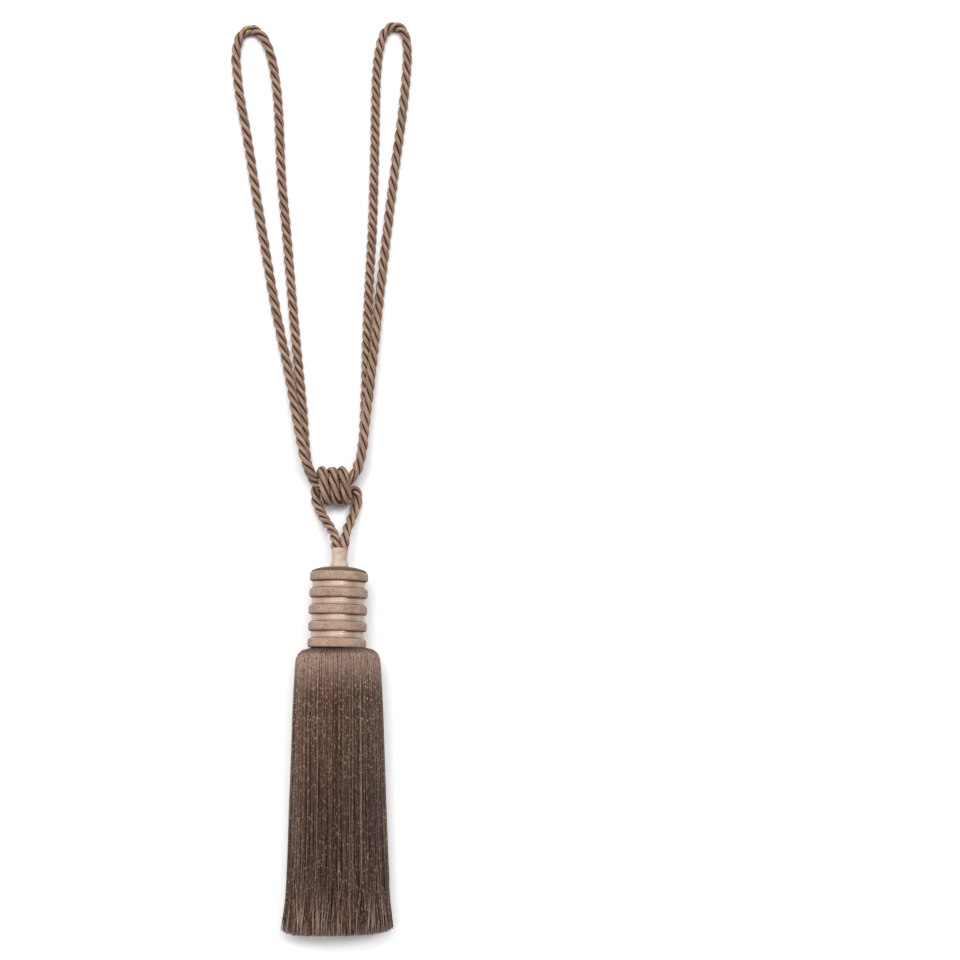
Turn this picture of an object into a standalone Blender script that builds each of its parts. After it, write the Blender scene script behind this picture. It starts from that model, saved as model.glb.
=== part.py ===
"""Curtain tieback with a tassel, lying face up on a flat surface.

The tassel's axis runs along Y: its skirt points to -Y and its hanging cord to +Y. Two long loops
of one twisted rope lie beyond the cord's knot. The surface is z = 0, and the origin lies under the
middle of the tassel. Every length is in metres.
"""
from math import ceil, cos, hypot, pi, radians, sin, tau

import bmesh
import bpy
import numpy as np

MM = 0.001

# Rope: three strands laid up left-handed, so that their grooves run like a backslash.
ROPE_R = 3.4 * MM
ROPE_GROOVE_R = 2.55 * MM
ROPE_STRANDS = 3
REST_GAP = 0.05 * MM
ROPE_LEAD = 25.4 * MM
STEPS_PER_LEAD = 8

# Knot: the tassel's cord is wound three times round the two passes of the loop rope.
KNOT_X = -3.6 * MM
KNOT_Y = 179.3 * MM
KNOT_Z = 10.85 * MM
WRAP_TURNS = 3
WRAP_PITCH = 7.4 * MM
WRAP_START_X = -13.2 * MM
WRAP_FLAT = 3.6 * MM
WRAP_BEND_R = 7.35 * MM
CORE_SQUEEZE = 0.69
CORE_HALF_LENGTH = 12.5 * MM
CORE_HALF_WIDTH = 9.0 * MM
CORE_EASE = 8.0 * MM

# Head: a turned mould of five flanges, with a satin band in each of its four grooves.
HEAD_X = -0.8 * MM
HEAD_Y = 65.8 * MM
HEAD_TILT = radians(-1.9)
FLANGES = 5
FLANGE_R = 20.7 * MM
FLANGE_WIDTH = 6.9 * MM
FLANGE_ROUND = 1.3 * MM
FLANGE_PITCH = 11.75 * MM
GROOVE_R = 17.0 * MM
CROWN_TOP_R = 7.0 * MM
CROWN_HEIGHT = 4.0 * MM
BAND_R = 18.8 * MM
BAND_CROWN = 0.25 * MM
TURNED_STEPS = 28

# Neck: a sleeve wound of thread, which holds both ends of the tassel's cord.
NECK_LENGTH = 13.0 * MM
NECK_R = 5.4 * MM
NECK_FLARE_R = 6.1 * MM
NECK_STEPS = 20
NECK_SQUEEZE = 0.75
NECK_MOUTH = 134.0 * MM
NECK_EASE = 9.0 * MM

# Skirt: locks of thread that spring from a cap under the head and rest level on the surface.
# Each row is a section across the skirt: (y, half width, height).
SKIRT_SECTIONS = [
    (50.0 * MM, 30.0 * MM, 46.0 * MM),
    (18.0 * MM, 31.6 * MM, 45.5 * MM),
    (-24.0 * MM, 32.7 * MM, 43.0 * MM),
    (-70.0 * MM, 34.5 * MM, 40.5 * MM),
    (-117.0 * MM, 36.4 * MM, 38.0 * MM),
    (-133.7 * MM, 38.0 * MM, 37.0 * MM),
]
SKIRT_MIDDLE = 0.40
SKIRT_FLAT = 0.55
CAP_SHARE = 0.66
CAP_TOP = 61.35 * MM
CAP_BOTTOM = 56.5 * MM
OUTER_LOCKS = 60
INNER_LOCKS = 30
SEAM_TURN = 0.25 / INNER_LOCKS
LOCK_GAP = 0.5 * MM
ROOT_INSET = 0.3 * MM
END_SPREAD = 1.8 * MM
SKIRT_END = SKIRT_SECTIONS[-1][0]

# A lock's corners along its length. Each row is (outer y, outer share, inner y, inner share),
# where a share is a part of the way from the section's middle to its outline.
OUTER_STATIONS = [
    (CAP_TOP - ROOT_INSET, CAP_SHARE, CAP_BOTTOM + ROOT_INSET, CAP_SHARE),
    (61.9 * MM, 0.84, 55.6 * MM, 0.74),
    (60.0 * MM, 0.93, 53.0 * MM, 0.80),
    (54.3 * MM, 0.985, 48.5 * MM, 0.835),
    (44.0 * MM, 1.0, 42.0 * MM, 0.845),
    (-24.0 * MM, 1.0, -24.0 * MM, 0.845),
    (SKIRT_END, 1.0, SKIRT_END, 0.845),
]
MIDDLE_STATIONS = [
    (CAP_BOTTOM, 0.60, CAP_BOTTOM, 0.36),
    (30.0 * MM, 0.80, 30.0 * MM, 0.48),
    (SKIRT_END, 0.81, SKIRT_END, 0.48),
]
CENTRE_STATIONS = [
    (CAP_BOTTOM, 0.34, CAP_BOTTOM, 0.06),
    (30.0 * MM, 0.45, 30.0 * MM, 0.06),
    (SKIRT_END, 0.45, SKIRT_END, 0.06),
]

# The loop rope's middle line in millimetres: a closed ring, from the knot round the right loop,
# back through the knot, and round the left loop.
LOOP_ROUTE = [
    (-3.5, 178.4, 10.8),
    (3.2, 178.2, 10.9),
    (6.7, 179.8, 12.3),
    (9.5, 182.9, 14.2),
    (12.2, 186.5, 15.1),
    (14.5, 191.7, 15.4),
    (16.7, 200.5, 15.2),
    (18.2, 210.1, 13.9),
    (19.7, 225.0, 11.6),
    (22.8, 250.0, 10.6),
    (26.2, 280.0, 8.7),
    (31.3, 328.0, 3.8),
    (41.3, 411.5, 3.5),
    (49.4, 474.0, 3.5),
    (51.8, 506.0, 3.5),
    (51.1, 518.0, 3.5),
    (48.3, 525.9, 3.5),
    (42.9, 528.9, 3.5),
    (37.1, 526.3, 3.5),
    (33.2, 519.5, 3.5),
    (29.5, 500.0, 3.5),
    (27.1, 430.0, 3.5),
    (25.3, 373.0, 3.5),
    (23.0, 333.0, 3.5),
    (20.9, 288.0, 3.5),
    (19.9, 250.0, 3.5),
    (17.5, 208.0, 4.8),
    (14.4, 195.2, 6.8),
    (9.9, 187.4, 8.7),
    (3.7, 184.1, 10.3),
    (-3.5, 184.0, 10.8),
    (-10.1, 184.0, 10.9),
    (-13.5, 184.3, 11.8),
    (-16.8, 185.6, 14.0),
    (-19.5, 189.5, 15.3),
    (-22.3, 194.4, 15.5),
    (-24.5, 201.2, 14.8),
    (-26.3, 209.4, 13.3),
    (-28.4, 220.0, 11.1),
    (-35.2, 259.0, 5.6),
    (-45.9, 312.5, 3.5),
    (-60.6, 399.0, 3.5),
    (-66.7, 438.0, 3.5),
    (-73.9, 480.0, 3.5),
    (-75.7, 505.0, 3.5),
    (-73.8, 515.6, 3.5),
    (-70.0, 521.7, 3.5),
    (-64.4, 523.8, 3.5),
    (-58.7, 521.4, 3.5),
    (-54.3, 515.2, 3.5),
    (-50.0, 503.8, 3.5),
    (-45.2, 474.0, 3.5),
    (-41.6, 408.0, 3.5),
    (-38.5, 375.0, 3.5),
    (-31.3, 293.0, 3.5),
    (-25.4, 233.0, 3.5),
    (-23.9, 210.7, 4.6),
    (-22.3, 197.3, 6.6),
    (-21.0, 190.3, 7.6),
    (-19.3, 185.5, 8.2),
    (-16.7, 181.6, 9.0),
    (-13.4, 179.2, 10.1),
    (-9.4, 178.4, 10.8),
]

# The tassel's cord in millimetres: up from the neck to the knot, and down from the knot again.
RISING_LEG = [
    (-1.5, 134.4, 20.0),
    (-1.9, 138.5, 18.9),
    (-3.6, 145.0, 15.2),
    (-8.6, 153.6, 9.8),
    (-13.5, 162.6, 5.5),
    (-16.0, 171.1, 3.7),
    (-15.8, 177.2, 3.5),
]
FALLING_LEG = [
    (7.1, 169.8, 6.2),
    (7.7, 173.4, 4.1),
    (9.6, 176.9, 3.5),
    (12.4, 176.8, 3.5),
    (14.1, 173.8, 3.6),
    (14.2, 169.8, 4.1),
    (12.7, 164.0, 5.9),
    (9.5, 155.4, 10.6),
    (6.1, 146.0, 16.8),
    (4.7, 138.8, 20.8),
    (4.1, 134.4, 21.4),
]


def clear_scene():
    """Removes every object that the scene holds."""
    for thing in list(bpy.data.objects):
        bpy.data.objects.remove(thing, do_unlink=True)


def material(name, colour, roughness, sheen=0.0):
    """A cloth finish of one colour."""
    finish = bpy.data.materials.new(name)
    finish.use_nodes = True
    shader = finish.node_tree.nodes["Principled BSDF"]
    shader.inputs["Base Color"].default_value = (*colour, 1.0)
    shader.inputs["Roughness"].default_value = roughness
    shader.inputs["Metallic"].default_value = 0.0
    shader.inputs["Sheen Weight"].default_value = sheen
    return finish


def collection(name):
    """A new collection in the scene."""
    group = bpy.data.collections.new(name)
    bpy.context.scene.collection.children.link(group)
    return group


def add_object(name, data, group, finish, parent=None):
    """A new object with its own finish, in its collection."""
    thing = bpy.data.objects.new(name, data)
    group.objects.link(thing)
    if finish:
        data.materials.append(finish)
    thing.parent = parent
    return thing


def smooth_line(points, closed, fine=24):
    """Many points on the centripetal Catmull-Rom curve through the given points."""
    points = np.array(points, float)
    if closed:
        points = np.vstack([points[-1], points, points[0], points[1]])
    else:
        first = 2 * points[0] - points[1]
        last = 2 * points[-1] - points[-2]
        points = np.vstack([first, points, last])
    spans = []
    for p0, p1, p2, p3 in zip(points, points[1:], points[2:], points[3:]):
        t1 = np.linalg.norm(p1 - p0) ** 0.5
        t2 = t1 + np.linalg.norm(p2 - p1) ** 0.5
        t3 = t2 + np.linalg.norm(p3 - p2) ** 0.5
        t = np.linspace(t1, t2, fine, endpoint=False)[:, None]
        a1 = (t1 - t) / t1 * p0 + t / t1 * p1
        a2 = (t2 - t) / (t2 - t1) * p1 + (t - t1) / (t2 - t1) * p2
        a3 = (t3 - t) / (t3 - t2) * p2 + (t - t2) / (t3 - t2) * p3
        b1 = (t2 - t) / t2 * a1 + t / t2 * a2
        b2 = (t3 - t) / (t3 - t1) * a2 + (t - t1) / (t3 - t1) * a3
        spans.append((t2 - t) / (t2 - t1) * b1 + (t - t1) / (t2 - t1) * b2)
    end = points[1] if closed else points[-2]
    return np.vstack([*spans, end])


def evenly_spaced(line, count):
    """The line's points at count equal steps, its two ends among them."""
    run = np.concatenate([[0.0], np.cumsum(np.linalg.norm(np.diff(line, axis=0), axis=1))])
    wanted = np.linspace(0.0, run[-1], count + 1)
    return np.stack([np.interp(wanted, run, line[:, axis]) for axis in range(3)], axis=1)


def wrap_place(run):
    """A point of the winding, run metres along it: a flat oval round X that advances along X.

    The winding starts at the oval's low side where the far bend begins, climbs over the far
    bend, crosses the top, and comes back underneath.
    """
    bend = pi * WRAP_BEND_R
    flat = 2 * WRAP_FLAT
    around = run % (2 * (bend + flat))
    x = WRAP_START_X + WRAP_PITCH * run / (2 * (bend + flat))
    if around < bend:
        angle = around / WRAP_BEND_R
        return (x, KNOT_Y + WRAP_FLAT + WRAP_BEND_R * sin(angle), KNOT_Z - WRAP_BEND_R * cos(angle))
    around -= bend
    if around < flat:
        return (x, KNOT_Y + WRAP_FLAT - around, KNOT_Z + WRAP_BEND_R)
    around -= flat
    if around < bend:
        angle = around / WRAP_BEND_R
        return (x, KNOT_Y - WRAP_FLAT - WRAP_BEND_R * sin(angle), KNOT_Z + WRAP_BEND_R * cos(angle))
    around -= bend
    return (x, KNOT_Y - WRAP_FLAT + around, KNOT_Z - WRAP_BEND_R)


def tassel_cord_route():
    """The tassel cord's middle line: the rising leg, the winding, and the falling leg."""
    turn = 2 * (pi * WRAP_BEND_R + 2 * WRAP_FLAT)
    length = WRAP_TURNS * turn - 2 * WRAP_FLAT - pi * WRAP_BEND_R / 2
    steps = 12 * WRAP_TURNS
    winding = [wrap_place(length * step / steps) for step in range(steps + 1)]
    rising = [tuple(MM * value for value in point) for point in RISING_LEG]
    falling = [tuple(MM * value for value in point) for point in FALLING_LEG]
    return rising + winding + falling


def eased(share):
    """A soft step from 0 to 1."""
    share = min(max(share, 0.0), 1.0)
    return share * share * (3 - 2 * share)


def knot_squeeze(place):
    """The loop rope's thickness near the knot, as a share of its free thickness."""
    beyond_x = abs(place[0] - KNOT_X) - CORE_HALF_LENGTH
    beyond_y = abs(place[1] - KNOT_Y) - CORE_HALF_WIDTH
    beyond = hypot(max(beyond_x, 0.0), max(beyond_y, 0.0))
    return CORE_SQUEEZE + (1 - CORE_SQUEEZE) * eased(beyond / CORE_EASE)


def neck_squeeze(place):
    """The tassel cord's thickness near the neck sleeve, as a share of its free thickness."""
    return NECK_SQUEEZE + (1 - NECK_SQUEEZE) * eased((place[1] - NECK_MOUTH) / NECK_EASE)


def strand_profile(cutters):
    """The rope's section: a ridge for each strand and a groove between each two."""
    curve = bpy.data.curves.new("strand_profile", "CURVE")
    curve.dimensions = "2D"
    corners = 2 * ROPE_STRANDS
    spline = curve.splines.new("POLY")
    spline.points.add(corners - 1)
    for index, point in enumerate(spline.points):
        radius = ROPE_GROOVE_R if index % 2 else ROPE_R
        angle = -tau * index / corners
        point.co = (radius * cos(angle), radius * sin(angle), 0.0, 1.0)
    spline.use_cyclic_u = True
    profile = add_object("strand_profile", curve, cutters, None)
    profile.hide_render = True
    profile.display_type = "WIRE"
    return profile


def rope(name, line, closed, squeeze, profile, group, finish):
    """A twisted rope along a line: the section turns once in each lead."""
    length = np.linalg.norm(np.diff(line, axis=0), axis=1).sum()
    whole = STEPS_PER_LEAD if closed else 1
    steps = whole * ceil(length / ROPE_LEAD * STEPS_PER_LEAD / whole)
    places = evenly_spaced(line, steps)
    places[:, 2] = np.maximum(places[:, 2], ROPE_R + REST_GAP)
    if closed:
        places = places[:-1]
    curve = bpy.data.curves.new(name, "CURVE")
    curve.dimensions = "3D"
    curve.twist_mode = "MINIMUM"
    curve.bevel_mode = "OBJECT"
    curve.bevel_object = profile
    curve.use_fill_caps = not closed
    spline = curve.splines.new("POLY")
    spline.points.add(len(places) - 1)
    for index, (point, place) in enumerate(zip(spline.points, places)):
        point.co = (*place, 1.0)
        point.tilt = tau * (len(places) // 2 - index) / STEPS_PER_LEAD
        point.radius = squeeze(place)
    spline.use_cyclic_u = closed
    return add_object(name, curve, group, finish)


def turned(name, outline, steps, group, finish, parent, along=0.0, closed=False):
    """A body turned about its parent's Z axis, from an outline of (radius, height) rows."""
    mesh = bpy.data.meshes.new(name)
    vertices = [(radius, 0.0, height) for radius, height in outline]
    edges = [(index, index + 1) for index in range(len(outline) - 1)]
    if closed:
        edges.append((len(outline) - 1, 0))
    mesh.from_pydata(vertices, edges, [])
    thing = add_object(name, mesh, group, finish, parent)
    thing.location = (0.0, 0.0, along)
    screw = thing.modifiers.new("turn", "SCREW")
    screw.axis = "Z"
    screw.steps = steps
    screw.render_steps = steps
    screw.use_merge_vertices = True
    screw.merge_threshold = 0.00001
    screw.use_smooth_shade = True
    return thing


def head_outline():
    """The mould's outline from its domed crown down its flanges to its flat foot."""
    top = (FLANGES - 1) * FLANGE_PITCH + FLANGE_WIDTH / 2
    outline = [
        (0.0, top + CROWN_HEIGHT),
        (CROWN_TOP_R, top + CROWN_HEIGHT),
        (0.62 * FLANGE_R, top + 0.62 * CROWN_HEIGHT),
        (0.86 * FLANGE_R, top + 0.2 * CROWN_HEIGHT),
    ]
    for index in reversed(range(FLANGES)):
        upper = index * FLANGE_PITCH + FLANGE_WIDTH / 2
        lower = index * FLANGE_PITCH - FLANGE_WIDTH / 2
        if index < FLANGES - 1:
            outline.append((GROOVE_R, upper))
        outline.append((FLANGE_R - FLANGE_ROUND, upper))
        outline.append((FLANGE_R, upper - FLANGE_ROUND))
        outline.append((FLANGE_R, lower + FLANGE_ROUND))
        outline.append((FLANGE_R - FLANGE_ROUND, lower))
        if index > 0:
            outline.append((GROOVE_R, lower))
    outline.append((0.0, -FLANGE_WIDTH / 2))
    return outline


def make_head(group, axis, mould_finish, band_finish, neck_finish):
    """The mould, its four satin bands, and the neck sleeve on its crown."""
    turned("head", head_outline(), TURNED_STEPS, group, mould_finish, axis)
    gap = 0.3 * MM
    half = (FLANGE_PITCH - FLANGE_WIDTH) / 2 - gap
    band = [
        (GROOVE_R + gap, half),
        (BAND_R - BAND_CROWN, half),
        (BAND_R, 0.0),
        (BAND_R - BAND_CROWN, -half),
        (GROOVE_R + gap, -half),
    ]
    for index in range(FLANGES - 1):
        height = (index + 0.5) * FLANGE_PITCH
        number = FLANGES - 1 - index
        turned(f"band_{number}", band, TURNED_STEPS, group, band_finish, axis, height, closed=True)
    foot = (FLANGES - 1) * FLANGE_PITCH + FLANGE_WIDTH / 2 + CROWN_HEIGHT + gap
    sleeve = [
        (0.0, NECK_LENGTH),
        (NECK_R - 0.6 * MM, NECK_LENGTH),
        (NECK_R, NECK_LENGTH - 0.6 * MM),
        (NECK_R, 0.3 * NECK_LENGTH),
        (NECK_FLARE_R, 0.0),
        (0.0, 0.0),
    ]
    turned("neck", sleeve, NECK_STEPS, group, neck_finish, axis, foot)


def skirt_point(y, share, around):
    """A point of the skirt: share of the way out, around from 0 to 1 from the underside's middle.

    The section is flat below, with round corners and a domed top. A small turn keeps the locks'
    seams off the middle plane.
    """
    rows = SKIRT_SECTIONS[::-1]
    ys = [row[0] for row in rows]
    width = float(np.interp(y, ys, [row[1] for row in rows]))
    top = float(np.interp(y, ys, [row[2] for row in rows]))
    middle = SKIRT_MIDDLE * top
    flat = SKIRT_FLAT * width
    corner = np.linspace(0.0, pi / 2, 13)
    dome = np.linspace(0.0, pi / 2, 25)[1:]
    x = np.concatenate([[0.0], flat + (width - flat) * np.sin(corner), width * np.cos(dome)])
    z = np.concatenate([[0.0], middle - middle * np.cos(corner), middle + (top - middle) * np.sin(dome)])
    run = np.concatenate([[0.0], np.cumsum(np.hypot(np.diff(x), np.diff(z)))])
    turn = (around + SEAM_TURN) % 1.0
    side = 1 if turn < 0.5 else -1
    half = 2 * min(turn, 1 - turn) * run[-1]
    edge_x = side * float(np.interp(half, run, x))
    edge_z = float(np.interp(half, run, z))
    return (share * edge_x, y, middle + share * (edge_z - middle))


def lock_corners(index, count, station, sides, shift):
    """A lock's corners at one station: two outside and two inside, or one inside if it is a wedge."""
    outer_y, outer_share, inner_y, inner_share = station
    middle = (index + 0.5) / count
    ends = [(outer_y, outer_share, -1), (outer_y, outer_share, 1)]
    if sides == 3:
        ends.append((inner_y, inner_share, 0))
    else:
        ends += [(inner_y, inner_share, 1), (inner_y, inner_share, -1)]
    places = []
    for y, share, side in ends:
        edge = np.array(skirt_point(y - shift, share, middle + side * 0.5 / count))
        centre = np.array(skirt_point(y - shift, share, middle))
        width = max(np.linalg.norm(edge - centre), LOCK_GAP)
        places.append(edge + (centre - edge) * (LOCK_GAP / 2) / width)
    return places


def grow_lock(bm, root, sections):
    """A closed lock drawn out of a root face through its sections, with a flat end."""
    ring = root
    for section in sections:
        following = [bm.verts.new(place) for place in section]
        for here, there in zip(range(len(ring)), [*range(1, len(ring)), 0]):
            bm.faces.new([ring[here], ring[there], following[there], following[here]])
        ring = following
    bm.faces.new(ring)


def grow_ring(bm, roots, stations, rng):
    """A ring of locks, which end a little unevenly."""
    for index, root in enumerate(roots):
        shifts = [0.0] * (len(stations) - 1) + [-rng.uniform(0.0, END_SPREAD)]
        sections = [
            lock_corners(index, len(roots), station, len(root), shift)
            for station, shift in zip(stations, shifts)
        ]
        grow_lock(bm, root, sections)


def ring_of_points(bm, y, share, count):
    """A ring of vertices on the cap, at the seams between count locks."""
    return [bm.verts.new(skirt_point(y, share, index / count)) for index in range(count)]


def roots_between(outer, inner):
    """The four corners of each root between two rings of as many vertices."""
    after = [*range(1, len(outer)), 0]
    return [[outer[here], outer[there], inner[there], inner[here]] for here, there in enumerate(after)]


def make_skirt(group, finish):
    """The skirt: an oval cap with three rings of locks, the outer one over its rim."""
    bm = bmesh.new()
    top = ring_of_points(bm, CAP_TOP, CAP_SHARE, OUTER_LOCKS)
    rim = ring_of_points(bm, CAP_BOTTOM, CAP_SHARE, OUTER_LOCKS)
    outer = ring_of_points(bm, CAP_BOTTOM, 0.61, INNER_LOCKS)
    inner = ring_of_points(bm, CAP_BOTTOM, 0.35, INNER_LOCKS)
    centre = bm.verts.new(skirt_point(CAP_BOTTOM, 0.0, 0.0))
    bm.faces.new(top[::-1])
    pairs = OUTER_LOCKS // INNER_LOCKS
    for index in range(INNER_LOCKS):
        edge = [rim[(index * pairs + step) % OUTER_LOCKS] for step in range(pairs + 1)]
        bm.faces.new([*edge, outer[(index + 1) % INNER_LOCKS], outer[index]])
    rng = np.random.default_rng(7)
    grow_ring(bm, roots_between(top, rim), OUTER_STATIONS, rng)
    grow_ring(bm, roots_between(outer, inner), MIDDLE_STATIONS, rng)
    wedges = [[inner[index], inner[(index + 1) % INNER_LOCKS], centre] for index in range(INNER_LOCKS)]
    grow_ring(bm, wedges, CENTRE_STATIONS, rng)
    bmesh.ops.recalc_face_normals(bm, faces=bm.faces)
    mesh = bpy.data.meshes.new("skirt")
    bm.to_mesh(mesh)
    bm.free()
    return add_object("skirt", mesh, group, finish)


def main():
    """Builds the ropes, the head and the skirt in one collection."""
    clear_scene()
    group = collection("curtain_tieback")
    guides = collection("guides")
    rope_finish = material("rope_yarn", (0.42, 0.29, 0.23), 0.5, 0.3)
    felt_finish = material("mould_cloth", (0.50, 0.37, 0.30), 0.85, 0.2)
    satin_finish = material("satin_band", (0.68, 0.52, 0.43), 0.35, 0.1)
    thread_finish = material("neck_thread", (0.66, 0.56, 0.46), 0.7, 0.1)
    skirt_finish = material("skirt_yarn", (0.20, 0.13, 0.10), 0.6, 0.3)

    profile = strand_profile(guides)
    loop_line = smooth_line(np.array(LOOP_ROUTE) * MM, closed=True)
    rope("loop_rope", loop_line, True, knot_squeeze, profile, group, rope_finish)
    cord_line = smooth_line(tassel_cord_route(), closed=False, fine=8)
    rope("tassel_cord", cord_line, False, neck_squeeze, profile, group, rope_finish)

    axis = bpy.data.objects.new("head_axis", None)
    group.objects.link(axis)
    axis.location = (HEAD_X, HEAD_Y, FLANGE_R)
    axis.rotation_euler = (-pi / 2, 0.0, HEAD_TILT)
    make_head(group, axis, felt_finish, satin_finish, thread_finish)
    make_skirt(group, skirt_finish)


main()
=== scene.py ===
"""Curtain tieback with a tassel: yarn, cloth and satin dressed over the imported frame.

The tieback lies face up on a pale floor. Its tassel's axis runs along Y, with the skirt towards -Y
and the two rope loops towards +Y. Every length is in metres.
"""
from math import pi, radians, tau

import bpy
import numpy as np
from bpy.props import FloatProperty, FloatVectorProperty, IntProperty, PointerProperty
from bpy.types import Operator, Panel, PropertyGroup
from mathutils import Matrix, Vector


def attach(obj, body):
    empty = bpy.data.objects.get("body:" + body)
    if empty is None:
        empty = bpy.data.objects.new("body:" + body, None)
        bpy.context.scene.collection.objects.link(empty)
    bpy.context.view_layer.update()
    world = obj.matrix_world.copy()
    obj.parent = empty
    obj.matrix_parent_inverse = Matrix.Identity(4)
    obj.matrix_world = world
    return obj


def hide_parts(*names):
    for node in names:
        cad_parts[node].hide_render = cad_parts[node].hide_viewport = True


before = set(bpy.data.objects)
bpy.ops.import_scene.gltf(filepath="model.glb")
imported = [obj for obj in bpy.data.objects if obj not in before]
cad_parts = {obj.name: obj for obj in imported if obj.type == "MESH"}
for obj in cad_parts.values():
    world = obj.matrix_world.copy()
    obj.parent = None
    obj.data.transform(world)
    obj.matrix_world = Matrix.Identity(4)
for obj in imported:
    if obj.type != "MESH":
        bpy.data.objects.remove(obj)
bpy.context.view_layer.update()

bl_info = {
    "name": "Curtain tieback with a tassel",
    "version": (1, 0, 0),
    "blender": (4, 5, 0),
    "location": "View3D > Sidebar > Tieback",
    "description": "Makes a rope tieback with a turned head and a thread tassel",
    "category": "Add Mesh",
}

MM = 0.001
UP = np.array([0.0, 0.0, 1.0])
REST_GAP = 0.05 * MM

# Rope: three strands laid left-handed. Two touching strands meet in a groove. A strand's middle and
# its radius are shares of the rope's radius, and each strand swells and thins a little on its way.
STRANDS = 3
STRAND_OFFSET = 0.513
STRAND_SHARE = 0.487
STRAND_SWELL = 0.018
STRAND_SWELL_PACE = 61.0
STEPS_PER_LEAD = 22
CORD_FINENESS = 1.3
LOOP_SPAN_POINTS = 24
CORD_SPAN_POINTS = 12
ROPE_CREASE = radians(60)
PLIES = 7
PLY_TWIST = 9.0

# The loop rope's middle line in millimetres: a closed ring, from the knot round the right loop,
# back through the knot, and round the left loop.
LOOP_ROUTE = [
    (-3.5, 178.4, 10.8),
    (3.2, 178.2, 10.9),
    (6.7, 179.8, 12.3),
    (9.5, 182.9, 14.2),
    (12.2, 186.5, 15.1),
    (14.5, 191.7, 15.4),
    (16.7, 200.5, 15.2),
    (18.2, 210.1, 13.9),
    (19.7, 225.0, 11.6),
    (22.8, 250.0, 10.6),
    (26.2, 280.0, 8.7),
    (31.3, 328.0, 3.8),
    (41.3, 411.5, 3.5),
    (49.4, 474.0, 3.5),
    (51.8, 506.0, 3.5),
    (51.1, 518.0, 3.5),
    (48.3, 525.9, 3.5),
    (42.9, 528.9, 3.5),
    (37.1, 526.3, 3.5),
    (33.2, 519.5, 3.5),
    (29.5, 500.0, 3.5),
    (27.1, 430.0, 3.5),
    (25.3, 373.0, 3.5),
    (23.0, 333.0, 3.5),
    (20.9, 288.0, 3.5),
    (19.9, 250.0, 3.5),
    (17.5, 208.0, 4.8),
    (14.4, 195.2, 6.8),
    (9.9, 187.4, 8.7),
    (3.7, 184.1, 10.3),
    (-3.5, 184.0, 10.8),
    (-10.1, 184.0, 10.9),
    (-13.5, 184.3, 11.8),
    (-16.8, 185.6, 14.0),
    (-19.5, 189.5, 15.3),
    (-22.3, 194.4, 15.5),
    (-24.5, 201.2, 14.8),
    (-26.3, 209.4, 13.3),
    (-28.4, 220.0, 11.1),
    (-35.2, 259.0, 5.6),
    (-45.9, 312.5, 3.5),
    (-60.6, 399.0, 3.5),
    (-66.7, 438.0, 3.5),
    (-73.9, 480.0, 3.5),
    (-75.7, 505.0, 3.5),
    (-73.8, 515.6, 3.5),
    (-70.0, 521.7, 3.5),
    (-64.4, 523.8, 3.5),
    (-58.7, 521.4, 3.5),
    (-54.3, 515.2, 3.5),
    (-50.0, 503.8, 3.5),
    (-45.2, 474.0, 3.5),
    (-41.6, 408.0, 3.5),
    (-38.5, 375.0, 3.5),
    (-31.3, 293.0, 3.5),
    (-25.4, 233.0, 3.5),
    (-23.9, 210.7, 4.6),
    (-22.3, 197.3, 6.6),
    (-21.0, 190.3, 7.6),
    (-19.3, 185.5, 8.2),
    (-16.7, 181.6, 9.0),
    (-13.4, 179.2, 10.1),
    (-9.4, 178.4, 10.8),
]

# How the loop rope's lay is drawn out (above zero) or packed (below) in the four legs, in the order
# in which the rope passes them from its join, and half the stretch over which one leg's lay changes
# to the next one's, as a share of the whole rope.
LEG_SLACK = [-0.016, 0.056, -0.132, 0.077]
LEG_CHANGE = 0.02

# The tassel's cord in millimetres: up from the neck to the knot, and down from the knot again.
RISING_LEG = [
    (-1.5, 134.4, 20.0),
    (-1.9, 138.5, 18.9),
    (-3.6, 145.0, 15.2),
    (-8.6, 153.6, 9.8),
    (-13.5, 162.6, 5.5),
    (-16.0, 171.1, 3.7),
    (-15.8, 177.2, 3.5),
]
FALLING_LEG = [
    (7.1, 169.8, 6.2),
    (7.7, 173.4, 4.1),
    (9.6, 176.9, 3.5),
    (12.4, 176.8, 3.5),
    (14.1, 173.8, 3.6),
    (14.2, 169.8, 4.1),
    (12.7, 164.0, 5.9),
    (9.5, 155.4, 10.6),
    (6.1, 146.0, 16.8),
    (4.7, 138.8, 20.8),
    (4.1, 134.4, 21.4),
]

# Knot: the tassel's cord is wound three times round the two passes of the loop rope, which are
# squeezed inside it. The winding is a little fuller and its lay slacker than the cord's legs.
KNOT = np.array([-3.6, 179.3, 10.85]) * MM
WRAP_TURNS = 3
WRAP_POINTS = 12
WRAP_PITCH = 7.4 * MM
WRAP_START_X = -13.2 * MM
WRAP_FLAT = 3.6 * MM
WRAP_BEND_R = 7.35 * MM
WRAP_FULLNESS = 1.04
WRAP_REACH = 14.0 * MM
WRAP_EASE = 4.0 * MM
WRAP_SLACK = 0.30
RISING_SLACK = -0.29
FALLING_SLACK = 0.05
CORE_SQUEEZE = 0.76
CORE_HALF = np.array([12.5, 9.0]) * MM
CORE_EASE = 8.0 * MM

# Join: the loop rope's two ends are butted and glued at the top of the left loop. Before the join
# the strands are opened and thinner, after it they are a step thicker, and glue has soaked in.
JOIN = np.array([-64.4, 523.8, 3.5]) * MM
JOIN_UNLAY = 9.0 * MM
JOIN_EASE = 6.0 * MM
JOIN_SLACK = 0.8
JOIN_THIN = 0.10
JOIN_STEP = 0.09
GLUE_BEFORE = 3.4 * MM
GLUE_HALF = 1.3 * MM
GLUE_FULL = 0.9
GLUE_LEVEL = 0.3

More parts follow.
